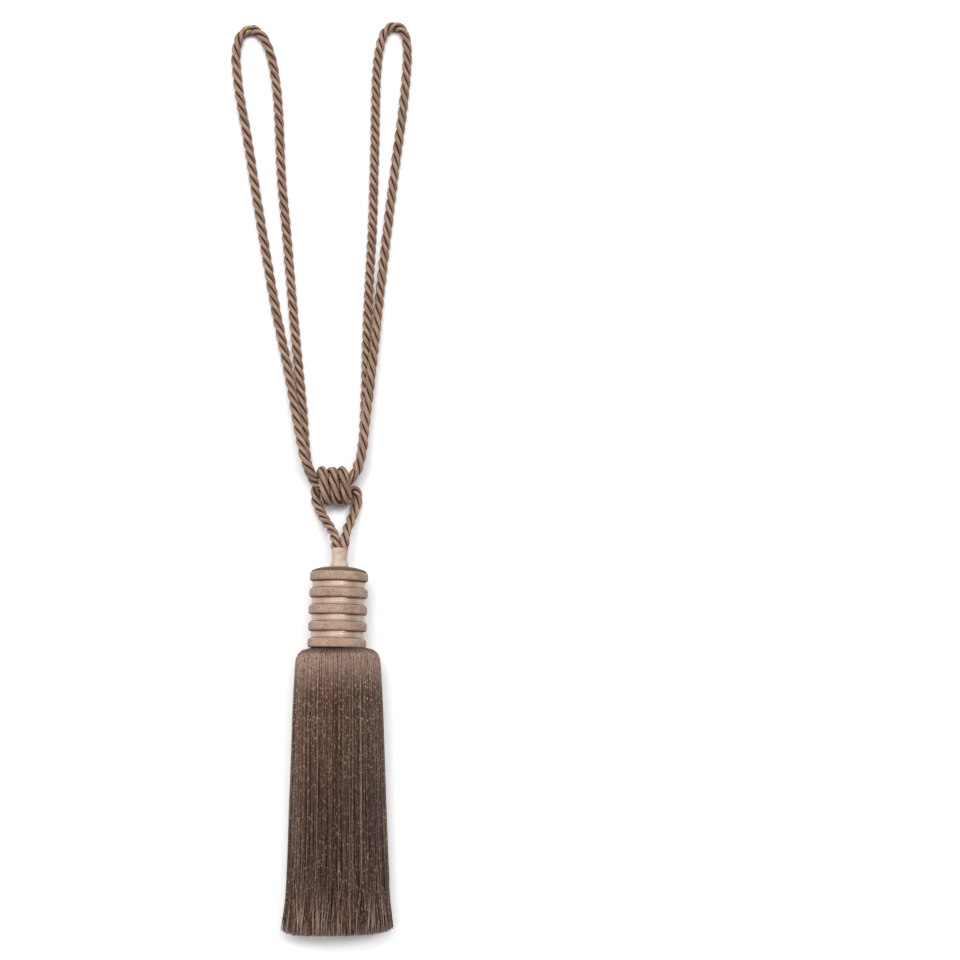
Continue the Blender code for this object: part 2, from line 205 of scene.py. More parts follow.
# Neck: a wound sleeve on the head's dome, flared at its foot, which presses both ends of the
# tassel's cord together in its mouth. The mouth's points are (inward, down) from the lip.
NECK_LENGTH = 13.0 * MM
NECK_SEAT = 0.3 * MM
NECK_LIP = 0.5 * MM
NECK_MOUTH = np.array([(0.5, 0.0), (0.8, 1.5)]) * MM
NECK_FLARE = 0.8 * MM
NECK_ROUND = 0.7 * MM
NECK_WAIST = 0.15 * MM
NECK_SQUEEZE = 1.04
NECK_EASE = 9.0 * MM
NECK_SUNK = 2.5 * MM
NECK_RINGS = 170
NECK_SIDES = 72
WINDING_PITCH = 0.42 * MM
WINDING_DEPTH = 0.07 * MM
WINDING_SWAY = 0.1 * MM
NECK_GIRTH_MM = 34

# Head: five flanges on an axis that leans a little to the right, a dome on the last one, and a satin
# ribbon in each groove. The cloth is a little lumpy, and the ribbon sways and ripples in its groove.
HEAD_FOOT = np.array([-0.8, 65.8, 20.7]) * MM
HEAD_TILT = radians(-1.9)
HEAD_SIDES = 168
FLANGES = 5
FLANGE_PITCH = 11.75 * MM
POLE_R = 0.5 * MM
FOOT_SHARE = 0.6
CROWN_SHARE = 0.96
CROWN_POWER = 1.2
LUMP = 0.07 * MM
SMALL_LUMP = 0.05 * MM
BAND_SIDES = 160
BAND_CROWN = 0.22 * MM
BAND_RIPPLE = 0.035 * MM
BAND_SWAY = 0.05 * MM
BAND_SUNK = 0.3 * MM
BAND_CREASE = radians(40)

# Skirt: each row is a section across it, as (y, half width, height). A section is flat where it
# lies, has its corner's middle at a share of its height, and is SKIRT_TURN round.
SKIRT_ROWS = MM * np.array([
    (50.0, 30.0, 46.0),
    (18.0, 31.6, 45.5),
    (-24.0, 32.7, 43.0),
    (-70.0, 34.5, 40.5),
    (-117.0, 36.4, 38.0),
    (-133.7, 38.0, 37.0),
])
SKIRT_MIDDLE = 0.40
SKIRT_FLAT = 0.55
SKIRT_END = SKIRT_ROWS[-1, 0]
SKIRT_TURN = 182.0 * MM
TABLE_STEPS = 720

# The threads bend over the shoulder in the first part of their fall.
SHOULDER_Y = 44.0 * MM
SHOULDER_HEIGHT = 18.5 * MM
SHOULDER_POWER = 4.2
SHOULDER_FALL = 0.2
TIE_SHARE = 0.34

# The threads lie in outer, middle and core layers and a few strays on top. Each middle layer has
# fewer threads than the one outside it, and so has each core layer, with more room between them.
# Only threads down to OUTER_DEPTH sink, lift and stand off. Each thread sways in waves, as (shared
# by its group, its own, waves in the fall), and gathers in clumps towards its cut end.
SKIRT_SEED = 11
LAYER_STEP = 0.62 * MM
OUTER_LAYERS = 5
MIDDLE_LAYERS = 5
MIDDLE_FEWER = 16
CORE_LAYERS = 11
CORE_THREADS = 112
CORE_FEWER = 9
CORE_STEP = 1.8
STRAY_COUNT = 64
OUTER_DEPTH = 3.4 * MM
GROUPS = 140
SWAYS = ((0.50 * MM, 0.22 * MM, 1.3), (0.22 * MM, 0.14 * MM, 3.1))
CLUMPS = 58
SUNK = 0.8 * MM
LIFT = 0.22 * MM
TIP_LEAN = 1.6 * MM
STRAY_LEAN = 4.8 * MM
THICKNESS_SPREAD = 0.14
TIP_TAPER = 0.35
TIP_STATIONS = 0.86
BLEACHED_SHARE = 0.24

# Where in a thread's fall each thing sets in, and where it is full.
FALLS = {
    "sway": (0.12, 1.0),
    "clump": (0.78, 0.95),
    "spread": (0.82, 1.0),
    "stand": (0.88, 1.0),
    "taper": (0.93, 1.0),
    "inside": (0.93, 1.0),
    "bleached": (0.86, 0.98),
    "pale": (0.965, 0.995),
}

# How much is cut off the threads towards each side, as (length, where from, where in full). At the
# left the places are counted towards the left.
CUT_RIGHT = [(1.0 * MM, 18.0 * MM, 30.0 * MM), (2.8 * MM, 28.0 * MM, 35.0 * MM)]
CUT_LEFT = [(1.5 * MM, 26.0 * MM, 34.0 * MM)]
CUT_UNEVEN = 2.6 * MM
CUT_LONG = 0.5 * MM

# Rings along each thread and sides round it.
FINENESS = {
    "skirt_outer": (17, 4),
    "skirt_middle": (11, 3),
    "skirt_core": (7, 3),
    "skirt_strays": (17, 4),
}

# The skirt's colour changes between these places: across it towards its right, to a plum that is partly
# painted shade, and along it, with a painted highlight over the shoulder, painted shade towards the cut end
# and a painted shadow at the tie under the head.
PLUM_AND_SHADE_ZONE = (-0.004, 0.034)
SHOULDER_HIGHLIGHT_ZONE = (0.026, 0.060)
LOWER_SHADE_ZONE = (0.034, -0.050)
HEAD_SHADOW_ZONE = (0.0565, 0.0610)

# The warm cast of the light that yarn and cloth throw back.
YARN_TINT = (1.0, 0.85, 0.75)
SHEEN_ROUGHNESS = 0.45

# Camera: its height, the point of the floor straight below it, and the pixel of the square frame at
# which that point lies.
CAMERA_HEIGHT = 1.27
CAMERA_Y = 0.0192
FRAME_SIDE = 960
FOCAL_PIXELS = 1756.0
FOOT_PIXEL = (338, 710)
FOOT_RIGHT = FOOT_PIXEL[0] - FRAME_SIDE / 2
FOOT_UP = FRAME_SIDE / 2 - FOOT_PIXEL[1]
SENSOR_MM = 36.0

# The soft lights stand in these directions from the tieback.
LIGHTS_FROM = {
    "key": (-0.10, 0.38, 1.0),
    "side": (-0.60, 0.25, 0.80),
    "strip": (0.42, 0.30, 1.0),
}
FLOOR_HALF = 3.0


# --- Shapes ---------------------------------------------------------------------------------


def eased(share):
    """A soft step: 3 s^2 - 2 s^3 for s held between 0 and 1."""
    share = np.clip(share, 0.0, 1.0)
    return share * share * (3 - 2 * share)


def rising(value, low, high):
    """A soft step from 0 at low to 1 at high."""
    return eased((value - low) / (high - low))


def unit(vectors):
    """Each vector divided by its length."""
    return vectors / np.linalg.norm(vectors, axis=-1, keepdims=True)


def smooth_line(points, closed, fine):
    """Many points on the centripetal Catmull-Rom curve: for each span, blends of blends of its
    four neighbouring points, with knots spaced by the square root of their distances.
    """
    points = np.asarray(points, float)
    if closed:
        points = np.vstack([points[-1], points, points[:2]])
    else:
        points = np.vstack([2 * points[0] - points[1], points, 2 * points[-1] - points[-2]])
    p0, p1, p2, p3 = (points[k : len(points) - 3 + k, None] for k in range(4))
    t1 = np.linalg.norm(p1 - p0, axis=-1, keepdims=True) ** 0.5
    t2 = t1 + np.linalg.norm(p2 - p1, axis=-1, keepdims=True) ** 0.5
    t3 = t2 + np.linalg.norm(p3 - p2, axis=-1, keepdims=True) ** 0.5
    t = t1 + (t2 - t1) * (np.arange(fine) / fine)[None, :, None]

    def blend(low, high, first, second):
        """Two points mixed by how far t has come from the first one's knot to the second one's."""
        return (high - t) / (high - low) * first + (t - low) / (high - low) * second

    a1 = blend(0.0, t1, p0, p1)
    a2 = blend(t1, t2, p1, p2)
    a3 = blend(t2, t3, p2, p3)
    curve = blend(t1, t2, blend(0.0, t2, a1, a2), blend(t1, t3, a2, a3))
    end = points[1] if closed else points[-2]
    return np.vstack([curve.reshape(-1, 3), end])


def angles(sides):
    """Equal angles round a ring."""
    return tau * np.arange(sides) / sides


def angle_steps(sides):
    """Shares of a turn at each side of a ring, and one more."""
    return np.arange(sides + 1) / sides


def run_of(line):
    """The distance along a line from its start to each of its points."""
    return np.concatenate([[0.0], np.cumsum(np.linalg.norm(np.diff(line, axis=0), axis=1))])


def evenly_spaced(line, count):
    """The line's points at count equal steps, its two ends among them."""
    run = run_of(line)
    wanted = np.linspace(0.0, run[-1], count + 1)
    return np.stack([np.interp(wanted, run, line[:, axis]) for axis in range(3)], axis=1)


def steady_frames(line):
    """Two normals at each point of a line, which turn about it as little as they can: each is the
    last one laid flat on the plane across the line.
    """
    tangents = unit(np.gradient(line, axis=0))
    normal = unit(np.cross(tangents[0], UP))
    normals = []
    for tangent in tangents:
        normal = unit(normal - tangent * (normal @ tangent))
        normals.append(normal)
    normals = np.array(normals)
    return normals, np.cross(tangents, normals)


def wrap_line():
    """The winding's middle line: two flat runs and two half circles of the bend radius to a turn,
    which advance along X by the pitch. It starts low at the far bend and climbs over it.
    """
    bend = pi * WRAP_BEND_R
    flat = 2 * WRAP_FLAT
    turn = 2 * (bend + flat)
    length = WRAP_TURNS * turn - flat - bend / 2
    run = np.linspace(0.0, length, WRAP_POINTS * WRAP_TURNS + 1)
    around = run % turn
    far = np.clip(around, 0, bend) / WRAP_BEND_R
    near = np.clip(around - bend - flat, 0, bend) / WRAP_BEND_R
    across = np.clip(around - bend, 0, flat) - np.clip(around - 2 * bend - flat, 0, flat)
    angle = far + near
    y = KNOT[1] + WRAP_FLAT - across + WRAP_BEND_R * np.sin(angle)
    z = KNOT[2] - WRAP_BEND_R * np.cos(angle)
    x = WRAP_START_X + WRAP_PITCH * run / turn
    return np.stack([x, y, z], axis=1)


def lay_angle(run, lead, slack):
    """How far the strands have turned at each point: by a turn for each lead of the run, and slower
    by the share of slack there, where the strands are opened or drawn straight.
    """
    steps = np.diff(run, prepend=run[0]) * (1 - slack)
    return -tau * np.cumsum(steps) / lead


def rope_points(line, settings, thickness, slack):
    """A laid rope carried along a line. Its section is three round strands: at an angle f from a
    strand's middle the radius is d cos f + sqrt(r^2 - d^2 sin^2 f). The section turns with the run.
    Gives the points as (1, rings, sides, 3), the run in turns, and the strand coordinate.
    """
    sides = STRANDS * settings.per_strand
    angle = angles(sides)
    half = pi / STRANDS
    offset = (angle + half) % (2 * half) - half
    offset = np.where(np.isclose(offset, -half), half, offset)
    reach = STRAND_OFFSET * np.cos(offset)
    reach = reach + np.sqrt(STRAND_SHARE**2 - (STRAND_OFFSET * np.sin(offset)) ** 2)
    run = run_of(line)
    turn = lay_angle(run, settings.lead, slack)
    normal, other = steady_frames(line)
    spin = angle + turn[:, None]
    phase = 2.1 * np.floor(angle * STRANDS / tau + 0.5)
    swell = 1 + STRAND_SWELL * np.sin(run[:, None] * STRAND_SWELL_PACE + phase)
    out = (settings.radius * thickness)[:, None] * reach * swell
    points = (
        line[:, None, :]
        + (out * np.cos(spin))[:, :, None] * normal[:, None, :]
        + (out * np.sin(spin))[:, :, None] * other[:, None, :]
    )
    strand = np.arange(sides + 1) / settings.per_strand + 0.5
    return points[None], -turn / tau, strand


def tube_quads(tubes, rings, sides, wrap_rings):
    """The corner numbers of the quads between each ring and the next, and each one's ring and side."""
    last = rings if wrap_rings else rings - 1
    tube, ring, side = np.meshgrid(np.arange(tubes), np.arange(last), np.arange(sides), indexing="ij")
    tube, ring, side = tube.ravel(), ring.ravel(), side.ravel()
    here = (tube * rings + ring) * sides
    there = (tube * rings + (ring + 1) % rings) * sides
    after = (side + 1) % sides
    quads = np.stack([here + side, here + after, there + after, there + side], axis=1)
    return quads, tube, ring, side


def tube_piece(name, points, finish, along, around, values=None, wrap_rings=False, crease=None):
    """One mesh of tubes from points of the shape (tubes, rings, sides, 3), with the sides counted
    anticlockwise about the run. Open tubes get a flat cap at each end. The UV map is (along, around),
    where along has a value for each ring and around one for each side and one more. No point is
    left below the floor.
    """
    points = points.copy()
    points[..., 2] = np.maximum(points[..., 2], REST_GAP / 2)
    tubes, rings, sides, _ = points.shape
    quads, tube, ring, side = tube_quads(tubes, rings, sides, wrap_rings)
    along = np.broadcast_to(np.asarray(along, float), (tubes, len(np.atleast_1d(along).T)))
    here = along[tube, ring]
    there = along[tube, ring + 1]
    u = np.stack([here, here, there, there], axis=1)
    v = np.stack([around[side], around[side + 1], around[side + 1], around[side]], axis=1)
    corners = quads.ravel()
    uvs = np.stack([u.ravel(), v.ravel()], axis=1)
    starts = 4 * np.arange(len(quads))
    if not wrap_rings:
        first = (np.arange(tubes) * rings * sides)[:, None]
        foot = (first + np.arange(sides)[::-1]).ravel()
        head = (first + (rings - 1) * sides + np.arange(sides)).ravel()
        ends = np.repeat(np.stack([along[:, 0], along[:, rings - 1]]).ravel(), sides)
        uvs = np.vstack([uvs, np.stack([ends, np.zeros_like(ends)], axis=1)])
        starts = np.concatenate([starts, len(corners) + sides * np.arange(2 * tubes)])
        corners = np.concatenate([corners, foot, head])
    mesh = bpy.data.meshes.new(name)
    mesh.vertices.add(points.size // 3)
    mesh.vertices.foreach_set("co", points.ravel())
    mesh.loops.add(len(corners))
    mesh.loops.foreach_set("vertex_index", corners)
    mesh.polygons.add(len(starts))
    mesh.polygons.foreach_set("loop_start", starts)
    mesh.polygons.foreach_set("use_smooth", np.arange(len(starts)) < len(quads))
    mesh.update(calc_edges=True)
    mesh.uv_layers.new(name="yarn").data.foreach_set("uv", uvs.ravel())
    for value_name, value in (values or {}).items():
        spread = np.broadcast_to(value, points.shape[:3]).ravel()
        mesh.attributes.new(value_name, "FLOAT", "POINT").data.foreach_set("value", spread)
    if crease is not None:
        mesh.set_sharp_from_angle(angle=crease)
    mesh.materials.append(finish)
    piece = bpy.data.objects.new(name, mesh)
    bpy.context.scene.collection.objects.link(piece)
    return piece


def dress(piece, slot, *nodes):
    """The piece rides on the part and stands for its solids, which it hides; slot is not used."""
    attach(piece, "root")
    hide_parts(*nodes)


def rope_piece(name, node, settings, line, thickness, slack, soaked):
    """A laid rope in its yarn. At each ring glue has soaked in by a share, more on top than below."""
    points, turns, strand = rope_points(line, settings, thickness, slack)
    above = (points[0, :, :, 2] - line[:, None, 2]) / settings.radius
    glue = GLUE_FULL * soaked[:, None] * eased(GLUE_LEVEL + above)
    yarn = rope_finish(settings)
    rope = tube_piece(name, points, yarn, turns, strand, {"glue": glue[None]}, crease=ROPE_CREASE)
    dress(rope, "rope_yarn", node)
    return rope


def turned_points(outline, sides, wobble):
    """A profile of (radius, height) rows turned round the head's axis: foot + height along the axis
    + radius times (cos, sin) of the angle. Wobble is added to the radius for each row and side.
    """
    axis = np.array([-np.sin(HEAD_TILT), np.cos(HEAD_TILT), 0.0])
    right = np.array([np.cos(HEAD_TILT), np.sin(HEAD_TILT), 0.0])
    angle = angles(sides)
    ray = np.cos(angle)[:, None] * right - np.sin(angle)[:, None] * UP
    radius = outline[:, 0, None] + wobble
    heights = outline[:, 1, None, None] * axis
    return (HEAD_FOOT + heights + radius[:, :, None] * ray[None])[None]


def flange_outline(core, radius, half, count=17):
    """One flange's profile: radius = core + (radius - core) (1 - |t|^4.5)^(1/3.2) for t in -1 to 1."""
    t = np.sin(np.linspace(-1.0, 1.0, count) * pi / 2)
    reach = core + (radius - core) * (1 - np.abs(t) ** 4.5) ** (1 / 3.2)
    return np.stack([reach, half * t], axis=1)


def skirt_table():
    """The skirt's outlines, as (rows, steps, x and z) at equal steps round each section from the
    middle underneath: a flat below, an elliptical corner, and an elliptical dome.
    """
    corner = np.linspace(0.0, pi / 2, 40)
    dome = np.linspace(0.0, pi / 2, 80)[1:]
    table = []
    for _, width, top in SKIRT_ROWS:
        middle = SKIRT_MIDDLE * top
        flat = SKIRT_FLAT * width
        x = np.concatenate([[0.0], flat + (width - flat) * np.sin(corner), width * np.cos(dome)])
        z = np.concatenate([[0.0], middle - middle * np.cos(corner), middle + (top - middle) * np.sin(dome)])
        run = np.concatenate([[0.0], np.cumsum(np.hypot(np.diff(x), np.diff(z)))])
        half = np.linspace(0.0, run[-1], TABLE_STEPS // 2 + 1)
        side_x = np.interp(half, run, x)
        side_z = np.interp(half, run, z)
        whole_x = np.concatenate([side_x, -side_x[-2::-1]])
        whole_z = np.concatenate([side_z, side_z[-2::-1]])
        table.append(np.stack([whole_x, whole_z], axis=1))
    return SKIRT_ROWS[:, 0], np.array(table)


def on_skirt(y, around, depth, table):
    """Points inside the skirt's outline: at y, a share of a turn round it, and depth below its
    surface towards the section's middle. The outline is read between the table's rows and steps.
    """
    levels, outlines = table
    y, around, depth = np.broadcast_arrays(y, around, depth)
    level = np.interp(-y, -levels, np.arange(len(levels)))
    low = np.minimum(level.astype(int), len(levels) - 2)
    up = (level - low)[..., None]
    place = (around % 1.0) * TABLE_STEPS
    step = np.minimum(place.astype(int), TABLE_STEPS - 1)
    past = (place - step)[..., None]
    before = outlines[low, step] * (1 - past) + outlines[low, step + 1] * past
    after = outlines[low + 1, step] * (1 - past) + outlines[low + 1, step + 1] * past
    edge = before * (1 - up) + after * up
    middle = SKIRT_MIDDLE * np.interp(-y, -levels, SKIRT_ROWS[:, 2])
    ray = edge - np.stack([np.zeros_like(middle), middle], axis=-1)
    reach = np.linalg.norm(ray, axis=-1)
    share = np.maximum(reach - depth, 0.0) / np.maximum(reach, MM)
    return np.stack([ray[..., 0] * share, y, middle + ray[..., 1] * share], axis=-1), reach


def shoulder(fall, depth, reach, end):
    """The way over the cap's shoulder for fall from 0 at the tie to 1 at the cut end. The first part
    is a quarter of a superellipse, and the rest runs straight down. Gives y and the extra depth.
    """
    bend = np.clip(fall / SHOULDER_FALL, 0.0, 1.0) * pi / 2
    rise = np.cos(bend) ** (2 / SHOULDER_POWER)
    width = TIE_SHARE + (1 - TIE_SHARE) * np.sin(bend) ** (2 / SHOULDER_POWER)
    down = np.clip((fall - SHOULDER_FALL) / (1 - SHOULDER_FALL), 0.0, 1.0)
    y = SHOULDER_Y + (SHOULDER_HEIGHT - depth) * rise
    y = np.where(down > 0, SHOULDER_Y + (end - SHOULDER_Y) * down, y)
    return y, (1 - width) * (reach - depth)


def thread_tubes(lines, radius, sides):
    """Round threads along many lines at once, from lines of the shape (threads, rings, 3). Each
    ring stands across its line, on the sideways direction and the one square to it.
    """
    tangents = unit(np.gradient(lines, axis=1))
    across = unit(np.cross(tangents, UP + [0.03, 0.0, 0.0]))[:, :, None, :]
    other = np.cross(tangents, across[:, :, 0, :])[:, :, None, :]
    angle = angles(sides)[:, None]
    ring = np.cos(angle) * across + np.sin(angle) * other
    return lines[:, :, None, :] + radius[..., None, None] * ring


# --- Finishes -------------------------------------------------------------------------------

class Finish:
    """A cloth finish on a Principled shader, built up node by node."""

    def __init__(self, name, roughness, sheen, specular, tint=(1.0, 1.0, 1.0)):
        self.material = bpy.data.materials.new(name)
        self.material.use_nodes = True
        self.tree = self.material.node_tree
        self.sockets = self.tree.nodes["Principled BSDF"].inputs
        looks = {
            "Roughness": roughness,
            "Specular IOR Level": specular,
            "Specular Tint": tint,
            "Sheen Weight": sheen,
            "Sheen Tint": tint,
            "Sheen Roughness": SHEEN_ROUGHNESS,
        }
        for socket, value in looks.items():
            self.put(self.sockets[socket], value)

    def put(self, socket, value):
        """Links an output to a socket, or sets the socket to a plain value or colour."""
        if isinstance(value, bpy.types.NodeSocket):
            self.tree.links.new(value, socket)
        else:
            socket.default_value = (*value, 1.0) if socket.type == "RGBA" else value

    def node(self, kind, inputs, output=0, **settings):
        """A new node, with inputs fed by their names or numbers. Gives one of its outputs."""
        made = self.tree.nodes.new(kind)
        for setting, value in settings.items():
            setattr(made, setting, value)
        for socket, value in inputs.items():
            self.put(made.inputs[socket], value)
        return made.outputs[output]

    def math(self, operation, *values):
        """A Math node."""
        return self.node("ShaderNodeMath", dict(enumerate(values)), operation=operation)

    def times(self, value, factor):
        """A value multiplied by a factor."""
        return self.math("MULTIPLY", value, factor)

    def line(self, value, slope, start):
        """A value multiplied by a slope, with a start added."""
        return self.math("MULTIPLY_ADD", value, slope, start)

    def uv(self):
        """The piece's own UV map."""
        return self.node("ShaderNodeUVMap", {}, uv_map="yarn")

    def part(self, vector, axis):
        """One of a vector's three numbers."""
        return self.node("ShaderNodeSeparateXYZ", {0: vector}, axis)

    def place(self):
        """The point's place on the object."""
        return self.node("ShaderNodeTexCoord", {}, "Object")

    def value(self, name):
        """A value that the mesh carries."""
        return self.node("ShaderNodeAttribute", {}, "Fac", attribute_name=name)

    def stretched(self, vector, scale):
        """The vector with each of its numbers scaled."""
        return self.node("ShaderNodeMapping", {"Vector": vector, "Scale": scale})

    def noise(self, vector, scale, detail=3.0, rough=0.55):
        """Noise between about 0.3 and 0.7."""
        inputs = {"Vector": vector, "Scale": scale, "Detail": detail, "Roughness": rough}
        return self.node("ShaderNodeTexNoise", inputs, "Fac")

    def between(self, value, low, high, ease="SMOOTHSTEP"):
        """A value as a share of the way from low to high."""
        inputs = {"Value": value, "From Min": low, "From Max": high}
        return self.node("ShaderNodeMapRange", inputs, "Result", interpolation_type=ease)

    def blend(self, share, first, second, most=1.0):
        """Two colours mixed by a share, which is scaled so that its 1 becomes most."""
        if most < 1:
            share = self.times(share, most)
        return self.node("ShaderNodeMix", {0: share, 6: first, 7: second}, 2, data_type="RGBA")

    def finish(self, colour, height, distance, strength):
        """Feeds the colour and a bump of that depth into the shader."""
        bump = {"Height": height, "Distance": distance, "Strength": strength}
        self.put(self.sockets["Base Color"], colour)
        self.put(self.sockets["Normal"], self.node("ShaderNodeBump", bump))
        return self.material


def rope_finish(settings):
    """Silky rayon yarn: fine filaments along each strand, whose lit colour is partly a painted highlight,
    plies that twist about it, painted shade on each strand's flanks and a dark dull groove of painted shade
    between two strands, a beige drift, and amber glue at a join.
    """
    yarn = Finish("rope_yarn", 0.40, 0.05, 0.40, YARN_TINT)
    uv = yarn.uv()
    strands = yarn.part(uv, 1)
    across = yarn.math("ABSOLUTE", yarn.line(yarn.math("FRACT", strands), 2.0, -1.0))
    groove_shade = yarn.between(across, 0.64, 0.90)
    flank_shade = yarn.between(across, 0.25, 0.80)
    filaments = yarn.noise(yarn.stretched(uv, (1.2, 4.5, 1.0)), 1.0, 4.0, 0.75)
    twist = yarn.times(yarn.part(uv, 0), PLY_TWIST)
    plies = yarn.math("SINE", yarn.line(strands, PLIES * tau, twist))
    drift = yarn.between(yarn.noise(yarn.place(), 90.0, 2.0), 0.35, 0.65)
    # The filaments are the yarn's own streaks; their lit colour is partly a painted silky highlight.
    lit = yarn.between(filaments, 0.43, 0.59, "LINEAR")
    colour = yarn.blend(lit, settings.rope_dark_and_shade, settings.rope_light)
    colour = yarn.blend(drift, colour, settings.rope_warm, 0.35)
    # Painted shade: each strand darkens towards its flanks and deep in the groove between two strands.
    colour = yarn.blend(flank_shade, colour, settings.rope_dark_and_shade, 0.50)
    colour = yarn.blend(groove_shade, colour, settings.rope_groove_shade)
    colour = yarn.blend(yarn.value("glue"), colour, settings.glue)
    yarn.put(yarn.sockets["Specular IOR Level"], yarn.line(groove_shade, -0.38, 0.42))
    return yarn.finish(colour, yarn.line(plies, 0.16, filaments), 0.22 * MM, 0.55)


def thread_finish(settings):
    """Twisted rayon thread: each has its own tone, with small flecks along it: bright ones that are painted
    glints, and dark ones that are painted shade. The colour drifts from rosy to olive, and to a darker plum
    at the right that is partly painted shade. A painted highlight makes it paler over the shoulder, it is
    paler at the cut ends, painted shade makes it darker towards them, and a painted shadow from the head
    makes it dark at the tie.
    """
    yarn = Finish("skirt_yarn", 0.46, 0.02, 0.34, YARN_TINT)
    uv = yarn.uv()
    place = yarn.place()
    right = yarn.part(place, 0)
    up = yarn.part(place, 1)
    own = yarn.value("tone")
    along = yarn.times(yarn.part(uv, 0), 0.56)
    around = yarn.times(yarn.part(uv, 1), 0.8)
    spot = yarn.node("ShaderNodeCombineXYZ", {0: yarn.times(own, 173.0), 1: along, 2: around})
    fleck = yarn.noise(spot, 1.0, 4.0, 0.8)
    drift = yarn.noise(yarn.stretched(place, (210.0, 11.0, 210.0)), 1.0, 2.0)
    hue = yarn.between(yarn.noise(yarn.stretched(place, (60.0, 9.0, 60.0)), 1.0, 1.0), 0.38, 0.66)
    body = yarn.blend(hue, settings.thread_rosy, settings.thread_olive)
    # A plum cast at the right, and painted shade on the skirt's right side.
    body = yarn.blend(yarn.between(right, *PLUM_AND_SHADE_ZONE), body, settings.thread_plum_and_shade, 0.6)
    # Each thread's own tone, less its painted depth shade, darkens it towards the darkest threads.
    tone = yarn.between(yarn.line(drift, 0.3, yarn.times(own, 0.95)), 0.30, 0.74)
    body = yarn.blend(tone, settings.thread_dark_and_shade, body)
    # Painted highlight over the shoulder.
    body = yarn.blend(yarn.between(up, *SHOULDER_HIGHLIGHT_ZONE), body, settings.thread_shoulder_highlight, 0.86)
    # Painted shade that darkens the skirt towards its cut end, and dims its glints there.
    low = yarn.between(up, *LOWER_SHADE_ZONE)
    body = yarn.blend(low, body, settings.thread_dark_and_shade, 0.42)
    body = yarn.blend(yarn.between(own, 0.66, 0.90), body, settings.thread_bright_and_glint, 0.22)
    # Painted glints: bright flecks along the threads.
    lit = yarn.times(yarn.between(fleck, 0.55, 0.64), yarn.line(low, -0.28, 0.82))
    colour = yarn.blend(lit, body, settings.thread_bright_and_glint)
    # Painted shade: dark flecks along the threads, for the shade in the gaps between them.
    deep = yarn.times(yarn.between(fleck, 0.48, 0.39), 0.75)
    # Painted shadow from the head on the threads at the tie.
    head_shadow = yarn.times(yarn.between(up, *HEAD_SHADOW_ZONE), 0.70)
    colour = yarn.blend(yarn.math("MAXIMUM", deep, head_shadow), colour, settings.thread_dark_and_shade)
    colour = yarn.blend(yarn.value("tip"), colour, settings.thread_tip, 0.85)
    return yarn.finish(colour, fleck, 0.25 * MM, 0.9)


def mould_finish(settings):
    """Matt felted cloth: a fine speckle of lighter and darker fibres, with painted shadow along the flanges'
    lower rims and a dark crown that is partly painted shade.
    """
    cloth = Finish("mould_cloth", 0.88, 0.15, 0.15, YARN_TINT)
    place = cloth.place()
    speck = cloth.noise(place, 1500.0, 4.0, 0.75)
    mixed = cloth.line(cloth.noise(place, 160.0, 3.0), 0.25, speck)
    colour = cloth.blend(cloth.between(mixed, 0.51, 0.73), settings.cloth_shade, settings.cloth_light)
    # Painted shadow along the lower rim of each flange.
    colour = cloth.blend(cloth.value("rim"), colour, settings.cloth_rim_shadow)
    # A dark crown: its cloth, and partly painted shade on the dome.
    colour = cloth.blend(cloth.value("crown"), colour, settings.cloth_crown_and_shade)
    return cloth.finish(colour, speck, 0.3 * MM, 0.8)


def satin_finish(settings):
    """Satin ribbon: bright, with fine threads that run round the head and faint creases across it, darkened
    in streaks by painted shade that stands in for its sheen. Its two edges, which tuck in beside the
    flanges, are dark with painted shade.
    """
    satin = Finish("satin_band", 0.24, 0.05, 1.0, YARN_TINT)
    uv = satin.uv()
    width = satin.part(uv, 0)
    threads = satin.noise(satin.stretched(uv, (26.0, 2.2, 1.0)), 1.0, 3.0, 0.6)
    creases = satin.noise(satin.stretched(uv, (0.8, 46.0, 1.0)), 1.0, 3.0, 0.6)
    # Painted shade at the ribbon's edges beside the flanges.
    edge_shade = satin.math("MAXIMUM", satin.between(width, 0.74, 0.90), satin.between(width, 0.14, 0.04))
    colour = satin.blend(satin.between(threads, 0.3, 0.7), settings.satin_shade, settings.satin_light)
    # Painted shade in streaks across the ribbon, standing in for its sheen.
    colour = satin.blend(satin.between(creases, 0.50, 0.68), colour, settings.satin_crease_shade, 0.45)
    colour = satin.blend(edge_shade, colour, settings.satin_edge_shade, 0.95)
    return satin.finish(colour, satin.line(creases, 1.5, threads), 0.12 * MM, 0.6)


def neck_finish(settings):
    """Pale matt thread, wound close, with rosy patches."""
    wound = Finish("neck_thread", 0.72, 0.2, 0.25)
    fibres = wound.noise(wound.stretched(wound.uv(), (9.0, 5.0, 1.0)), 1.0, 3.0)
    rosy = wound.between(wound.noise(wound.place(), 260.0, 2.0), 0.4, 0.65)
    colour = wound.blend(rosy, settings.neck_light, settings.neck_shade)
    return wound.finish(colour, fibres, 0.08 * MM, 0.5)


# --- Settings -------------------------------------------------------------------------------


def length(label, description, default):
    """A length in metres that a user may change."""
    return FloatProperty(
        name=label, description=description, default=default, min=0.0, unit="LENGTH", precision=5
    )


def whole_number(label, description, default, low, high):
    """A whole number that a user may change."""
    return IntProperty(name=label, description=description, default=default, min=low, max=high)


def light_strength(label, description, default):
    """A light's strength that a user may change."""
    return FloatProperty(name=label, description=description, default=default, min=0.0)


def light_width(label, description, degrees):
    """The angle that a light fills, which a user may change."""
    return FloatProperty(
        name=label, description=description, default=radians(degrees), min=0.0, subtype="ANGLE"
    )


def colour(label, description, default):
    """A linear colour that a user may change."""
    return FloatVectorProperty(
        name=label, description=description, default=default, min=0.0, max=1.0, size=3, subtype="COLOR"
    )


